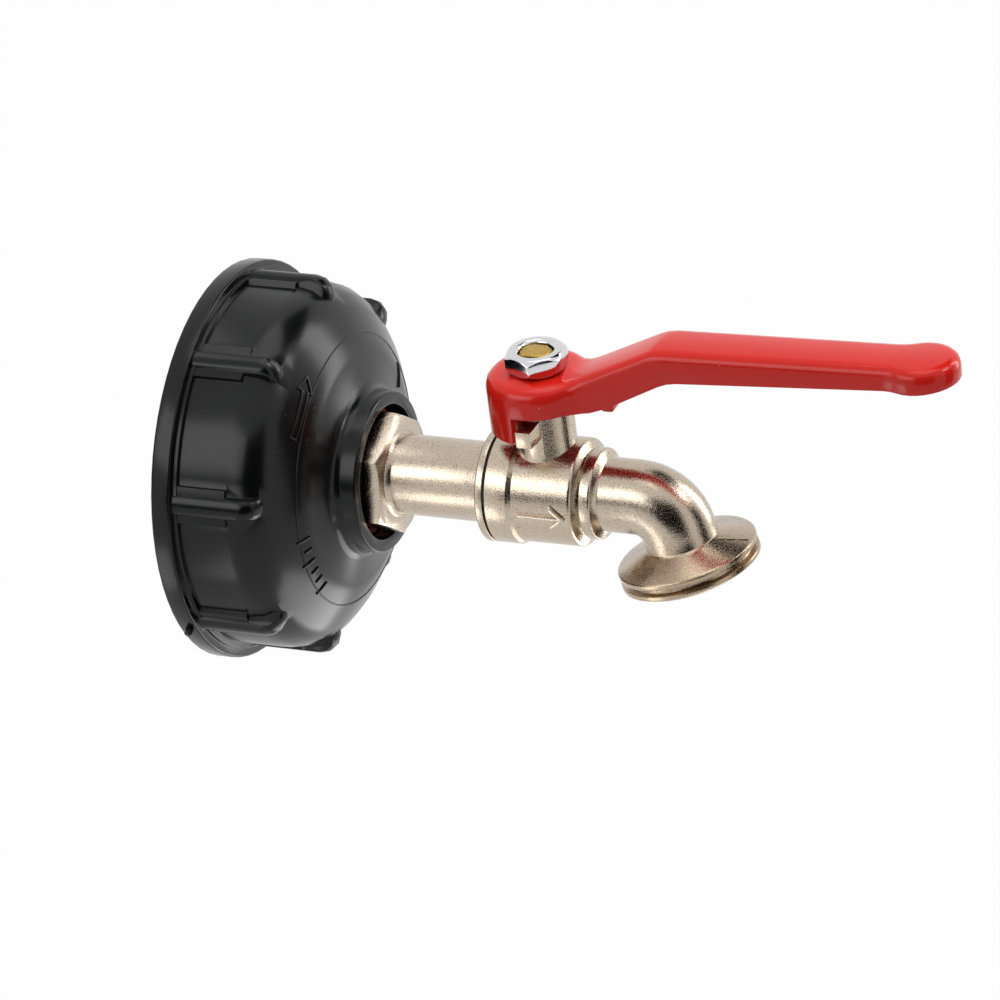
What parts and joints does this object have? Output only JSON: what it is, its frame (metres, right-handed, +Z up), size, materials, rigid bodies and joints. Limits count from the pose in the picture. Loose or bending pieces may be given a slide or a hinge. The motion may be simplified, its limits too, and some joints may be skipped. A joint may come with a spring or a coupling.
{
  "type": "ibc tank valve",
  "caption": "Lever ball valve with a down-turned threaded spout, mounted on a ribbed black cap for the coarse thread of a bulk liquid tank",
  "frame": {"origin": "centre of the cap's tank-side face, on the cap's axis", "axes": "+X runs with the flow out of the tank along the cap and the valve barrel; +Z runs up along the valve's stem; +Y completes the right-handed set"},
  "size_m": [0.1398, 0.072, 0.072],
  "materials": {
    "cap_black": "moulded glossy black plastic",
    "gasket_rubber": "dull black rubber",
    "washer_fibre": "dull red-brown pressed fibre",
    "nickel": "satin nickel plating over cast brass, fine grain",
    "seal_black": "smooth black rubber",
    "ball_chrome": "polished chrome",
    "seat_white": "turned white sealing plastic",
    "stem_brass": "turned brass",
    "lever_red": "thick glossy red coating",
    "nut_chrome": "bright chrome plating"
  },
  "bodies": {
    "housing": {"tank_cap": "cap_black", "cap_gasket": "gasket_rubber", "boss_washer": "washer_fibre", "inlet_tail": "nickel", "joint_seal": "seal_black", "valve_body": "nickel", "seat_inlet": "seat_white", "seat_outlet": "seat_white"},
    "turning_group": {"lever": "lever_red", "lever_nut": "nut_chrome", "stem": "stem_brass", "stem_thrust_washer": "seat_white", "stem_oring_lower": "seal_black", "stem_oring_upper": "seal_black", "ball": "ball_chrome"}
  },
  "joints": [
    {"name": "lever_turn", "type": "hinge", "parent": "housing", "child": "turning_group", "pos_m": [0.0612, 0, 0], "axis": [0, 0, 1], "range_deg": [-90, 0]}
  ]
}
